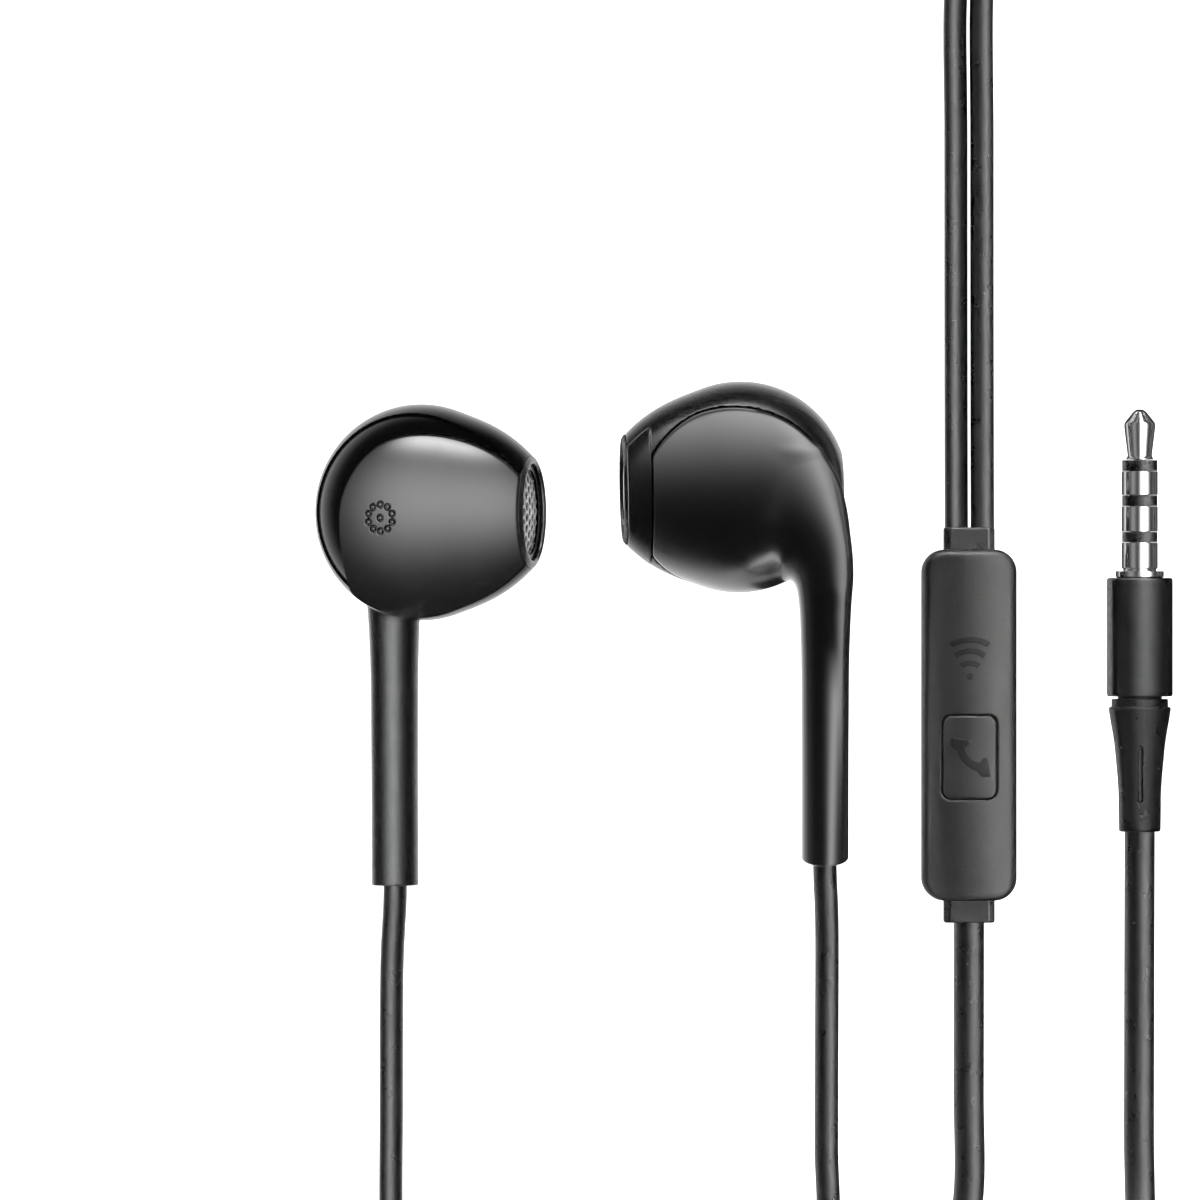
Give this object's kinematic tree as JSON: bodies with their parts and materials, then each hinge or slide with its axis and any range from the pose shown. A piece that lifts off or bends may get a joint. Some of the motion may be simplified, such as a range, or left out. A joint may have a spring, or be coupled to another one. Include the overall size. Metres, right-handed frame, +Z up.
{
  "type": "wired earphones",
  "caption": "In-ear headphones with stemmed oval earbuds, an in-line remote with a call button, a four-pole jack plug and a coiled cord, laid flat.",
  "frame": {"origin": "centre of the underside of the earbuds and the remote, on the table they lie on", "axes": "+X across from the left earbud to the remote, +Y along the stems towards the heads, +Z up from the table"},
  "size_m": [0.0984, 0.1953, 0.0189],
  "materials": {
    "gloss_black": "gloss",
    "gloss_grey": "gloss",
    "satin_grey": "satin",
    "satin_black": "satin",
    "rubber": "satin",
    "chrome": "polished",
    "steel": "brushed",
    "magnet": "plated",
    "copper": "enamelled wire",
    "film": "smooth film",
    "felt": "felt",
    "board": "lacquered"
  },
  "bodies": {
    "earphones": {"circuit_board": "board", "coil_tie": "rubber", "left_branch_cord": "rubber", "left_cord_clamp": "steel", "left_driver_basket": "steel", "left_driver_magnet": "magnet", "left_driver_yoke": "steel", "left_inner_cover": "gloss_grey", "left_nozzle_grille": "steel", "left_nozzle_housing": "gloss_black", "left_nozzle_trim": "gloss_black", "left_outer_shell": "gloss_black", "left_stem_bushing": "rubber", "left_vent_felt": "felt", "main_cord_coil": "rubber", "main_cord_lower": "rubber", "main_cord_upper": "rubber", "microphone": "steel", "plug_barrel": "gloss_black", "plug_boot": "rubber", "plug_core": "satin_black", "plug_crimp": "steel", "plug_insulator_1": "satin_black", "plug_insulator_2": "satin_black", "plug_insulator_3": "satin_black", "plug_ring_contact_1": "chrome", "plug_ring_contact_2": "chrome", "plug_sleeve_contact": "chrome", "plug_tip_contact": "chrome", "remote_back_cover": "satin_grey", "remote_front_cover": "satin_grey", "remote_lower_relief": "rubber", "remote_upper_relief": "rubber", "right_branch_cord": "rubber", "right_cord_clamp": "steel", "right_driver_basket": "steel", "right_driver_magnet": "magnet", "right_driver_yoke": "steel", "right_inner_cover": "gloss_grey", "right_nozzle_grille": "steel", "right_nozzle_housing": "gloss_black", "right_nozzle_trim": "gloss_black", "right_outer_shell": "gloss_black", "right_stem_bushing": "rubber", "right_vent_felt": "felt", "switch_case": "steel"},
    "call_button_group": {"call_button": "satin_grey", "switch_plunger": "rubber"},
    "left_diaphragm_group": {"left_diaphragm": "film", "left_voice_coil": "copper"},
    "right_diaphragm_group": {"right_diaphragm": "film", "right_voice_coil": "copper"}
  },
  "joints": [
    {"name": "button_press", "type": "slide", "parent": "earphones", "child": "call_button_group", "axis": [0, 0, -1], "range_m": [0, 0.00025], "stiffness_N_per_m": 600},
    {"name": "left_diaphragm_travel", "type": "slide", "parent": "earphones", "child": "left_diaphragm_group", "axis": [0.9613, 0, 0.2756], "range_m": [-0.00015, 0.00015], "stiffness_N_per_m": 500},
    {"name": "right_diaphragm_travel", "type": "slide", "parent": "earphones", "child": "right_diaphragm_group", "axis": [-0.9984, -0.0235, 0.0523], "range_m": [-0.00015, 0.00015], "stiffness_N_per_m": 500}
  ]
}
